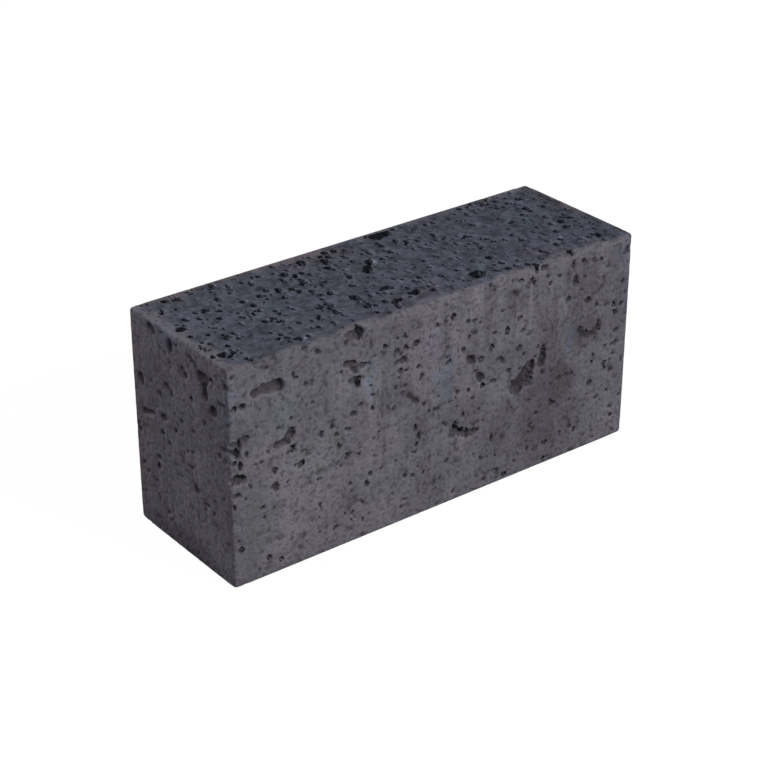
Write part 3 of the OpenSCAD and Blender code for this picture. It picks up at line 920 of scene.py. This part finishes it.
def concrete():
    """Dark concrete: a slate-blue top, partly a painted bluish sheen, warmer sides, smudges,
    stains, sand grain, painted shade in the voids, and painted highlights on rims and void walls.
    """
    material = bpy.data.materials.new("concrete")
    n = Nodes(material)
    at = Surface(n)
    base = sound_colour(n, at)
    base = brushed(n, at, base)
    base = grained(n, at, base)
    base = smudged(n, at, base)
    base, bowls = pricked(n, at, base)
    base, painted_lit_walls = wear_and_painted_highlights(n, at, base)
    base, void_shade = paint_void_shade(n, at, base, painted_lit_walls)
    shader = n.add("ShaderNodeBsdfPrincipled", {
        "Base Color": base,
        "Roughness": n.most(n.math("MULTIPLY_ADD", at.top, -TOP_SMOOTHER, MATT), void_shade),
        "Specular IOR Level": SHINE,
        "Normal": uneven(n, at, bowls),
    })
    n.add("ShaderNodeOutputMaterial", {0: shader.outputs[0]})
    return material


# ---------------------------------------------------------------- the stage

FLOOR_REACH = 4.0               # metres from the block to each side of the floor
FLOOR_DROP = 0.02 * MM          # the floor is this far under the bed face
FLOOR_PAINT = colour(0.45, 0.45, 0.46)
FLOOR_GLOW = 1.08               # how brightly the camera sees the floor glow
FLOOR_LIT = 0.88                # how much of what the camera sees of the floor is glow
SKY = 0.10                      # strength of the sky's light

# Soft boxes: name, azimuth, elevation, metres from the block, metres across, watts and tint
LIGHTS = [
    ("key", 20, 30, 2.4, 0.40, 91, (1.0, 1.0, 1.0)),
    ("fill", -118, 38, 2.2, 0.80, 27, (1.0, 0.94, 1.03)),
    ("rim", -172, 28, 2.4, 0.40, 45, (0.95, 0.97, 1.0)),
]

# The photograph's view: 28 degrees above the floor, from in front and to the left
VIEW_AZIMUTH, VIEW_ELEVATION = -37.68, 27.91
VIEW_DISTANCE = 0.5985
VIEW_AIM = (-5.82, -4.36, 35.0)         # millimetres
LENS, SENSOR = 93.25, 36.0      # focal length and width of the film, in millimetres
NEAREST = 0.01                  # metres from the camera at which things start to show


def floor():
    """A white floor. The camera sees it lit from within, so the shadow on it stays faint."""
    mesh = bpy.data.meshes.new("floor")
    mesh.from_pydata([(x * FLOOR_REACH, y * FLOOR_REACH, 0)
                      for x, y in ((-1, -1), (1, -1), (1, 1), (-1, 1))], [], [(0, 1, 2, 3)])
    plane = bpy.data.objects.new("floor", mesh)
    plane.location.z = -FLOOR_DROP
    bpy.context.scene.collection.objects.link(plane)
    material = bpy.data.materials.new("floor")
    n = Nodes(material)
    paint = n.add("ShaderNodeBsdfDiffuse", {"Color": FLOOR_PAINT})
    glow = n.add("ShaderNodeEmission", {"Color": colour(1.0, 1.0, 1.0), "Strength": FLOOR_GLOW})
    seen = n.product(n.add("ShaderNodeLightPath").outputs["Is Camera Ray"], FLOOR_LIT)
    surface = n.add("ShaderNodeMixShader", {0: seen, 1: paint.outputs[0], 2: glow.outputs[0]})
    n.add("ShaderNodeOutputMaterial", {0: surface.outputs[0]})
    mesh.materials.append(material)


def face_point(thing, point, azimuth, elevation, distance):
    """Sets a light or a camera facing a point. Azimuth 0 is in front of it, 90 to its right."""
    a, e = math.radians(azimuth), math.radians(elevation)
    away = Vector((math.sin(a) * math.cos(e), -math.cos(a) * math.cos(e), math.sin(e)))
    thing.location = point + away * distance
    thing.rotation_mode = "QUATERNION"
    thing.rotation_quaternion = (-away).to_track_quat("-Z", "Y")
    bpy.context.scene.collection.objects.link(thing)


def lights():
    """Three soft boxes round the block."""
    for name, azimuth, elevation, distance, size, watts, tint in LIGHTS:
        light = bpy.data.lights.new(name, "AREA")
        light.size = size
        light.energy = watts
        light.color = tint
        lamp = bpy.data.objects.new(name, light)
        face_point(lamp, Vector(MIDDLE * MM), azimuth, elevation, distance)


def camera():
    """The photograph's view."""
    lens = bpy.data.cameras.new("camera")
    lens.sensor_width = SENSOR
    lens.lens = LENS
    lens.clip_start = NEAREST
    view = bpy.data.objects.new("camera", lens)
    face_point(view, Vector(VIEW_AIM) * MM, VIEW_AZIMUTH, VIEW_ELEVATION, VIEW_DISTANCE)
    bpy.context.scene.camera = view


def sky():
    """A dim white sky, and colours shown as they are."""
    world = bpy.data.worlds.new("studio")
    world.use_nodes = True
    background = world.node_tree.nodes["Background"].inputs
    background["Color"].default_value = colour(1.0, 1.0, 1.0)
    background["Strength"].default_value = SKY
    bpy.context.scene.world = world
    bpy.context.scene.view_settings.view_transform = "Standard"


# ---------------------------------------------------------------- put together

paver = make_piece(cast_block())
paver.data.shade_smooth()
paver.data.set_sharp_from_angle(angle=math.radians(SHARPEST))
paver.data.materials.clear()
paver.data.materials.append(concrete())
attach(paver, "root")
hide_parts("paver")

floor()
sky()
lights()
camera()
